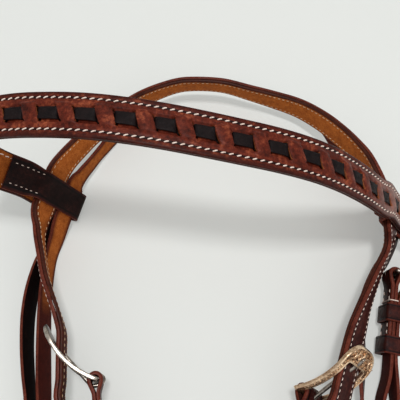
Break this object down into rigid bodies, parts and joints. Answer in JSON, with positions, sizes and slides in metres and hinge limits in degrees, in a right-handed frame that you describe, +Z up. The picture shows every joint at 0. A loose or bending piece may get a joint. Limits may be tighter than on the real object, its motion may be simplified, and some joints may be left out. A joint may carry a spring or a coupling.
{
  "type": "western bridle headstall",
  "caption": "Western leather headstall with a stitched browband laced in black squares, split crown, buckled cheekpieces, throatlatch and screwed bit ends.",
  "frame": {"origin": "middle of the headstall's footprint, on the table it lies on", "axes": "+X to the picture's right, across the head; +Y towards the crown; +Z up from the table"},
  "size_m": [0.3072, 0.4328, 0.1348],
  "materials": {
    "chestnut_leather": "oiled chestnut grain leather with darker burnished rims",
    "oxblood_leather": "oiled dark oxblood leather with burnished edges",
    "tan_leather": "plain tan flesh-side lining",
    "black_lace": "flat black lace",
    "silver_metal": "satin silver with an engraved scroll pattern on the cheek buckles"
  },
  "bodies": {
    "headstall": {"browband_front": "chestnut_leather", "browband_lace": "black_lace", "browband_lining": "tan_leather", "browband_loop_left": "oxblood_leather", "browband_loop_right": "oxblood_leather", "cheekpiece_left": "oxblood_leather", "cheekpiece_lining_left": "tan_leather", "cheekpiece_lining_right": "tan_leather", "cheekpiece_right": "oxblood_leather", "crown_lining": "tan_leather", "crown_strap": "oxblood_leather", "screw_left_1": "silver_metal", "screw_left_2": "silver_metal", "screw_post_left_1": "silver_metal", "screw_post_left_2": "silver_metal", "screw_post_right_1": "silver_metal", "screw_post_right_2": "silver_metal", "screw_right_1": "silver_metal", "screw_right_2": "silver_metal", "second_strap": "oxblood_leather", "throat_keeper_upper": "oxblood_leather", "throatlatch_strap": "oxblood_leather"},
    "cheek_frame_left": {"cheek_buckle_left": "silver_metal"},
    "cheek_frame_right": {"cheek_buckle_right": "silver_metal"},
    "throat_frame": {"throat_buckle": "silver_metal"},
    "cheek_pin_left": {"cheek_tongue_left": "silver_metal"},
    "cheek_pin_right": {"cheek_tongue_right": "silver_metal"},
    "throat_pin": {"throat_tongue": "silver_metal"},
    "cheek_keeper_left": {"cheek_keeper_left": "oxblood_leather"},
    "cheek_keeper_right": {"cheek_keeper_right": "oxblood_leather"},
    "throat_keeper_lower": {"throat_keeper_lower": "oxblood_leather"}
  },
  "joints": [
    {"name": "cheek_frame_left_swing", "type": "hinge", "parent": "headstall", "child": "cheek_frame_left", "pos_m": [-0.07162, -0.01172, 0.02206], "axis": [0.1385, 0.0139, 0.9903], "range_deg": [-2, 2]},
    {"name": "cheek_pin_left_swing", "type": "hinge", "parent": "cheek_frame_left", "child": "cheek_pin_left", "pos_m": [-0.07162, -0.01172, 0.02206], "axis": [0.1385, 0.0139, 0.9903], "range_deg": [0, 1.5]},
    {"name": "cheek_frame_right_swing", "type": "hinge", "parent": "headstall", "child": "cheek_frame_right", "pos_m": [0.06035, -0.01947, 0.01446], "axis": [0.6243, -0.2409, -0.7431], "range_deg": [-2, 2]},
    {"name": "cheek_pin_right_swing", "type": "hinge", "parent": "cheek_frame_right", "child": "cheek_pin_right", "pos_m": [0.06035, -0.01947, 0.01446], "axis": [0.6243, -0.2409, -0.7431], "range_deg": [0, 1.5]},
    {"name": "throat_frame_swing", "type": "hinge", "parent": "headstall", "child": "throat_frame", "pos_m": [0.12408, 0.05615, 0.01512], "axis": [0, 0, -1], "range_deg": [-2, 2]},
    {"name": "throat_pin_swing", "type": "hinge", "parent": "throat_frame", "child": "throat_pin", "pos_m": [0.12408, 0.05615, 0.01512], "axis": [0, 0, -1], "range_deg": [0, 1.5]},
    {"name": "cheek_keeper_left_slide", "type": "slide", "parent": "headstall", "child": "cheek_keeper_left", "axis": [0.1589, -0.9873, -0.0083], "range_m": [-0.0025, 0.0025]},
    {"name": "cheek_keeper_right_slide", "type": "slide", "parent": "headstall", "child": "cheek_keeper_right", "axis": [-0.214, -0.9676, 0.1338], "range_m": [-0.0025, 0.0025]},
    {"name": "throat_keeper_slide", "type": "slide", "parent": "headstall", "child": "throat_keeper_lower", "axis": [-0.2081, -0.9762, -0.0613], "range_m": [-0.004, 0.004]}
  ]
}
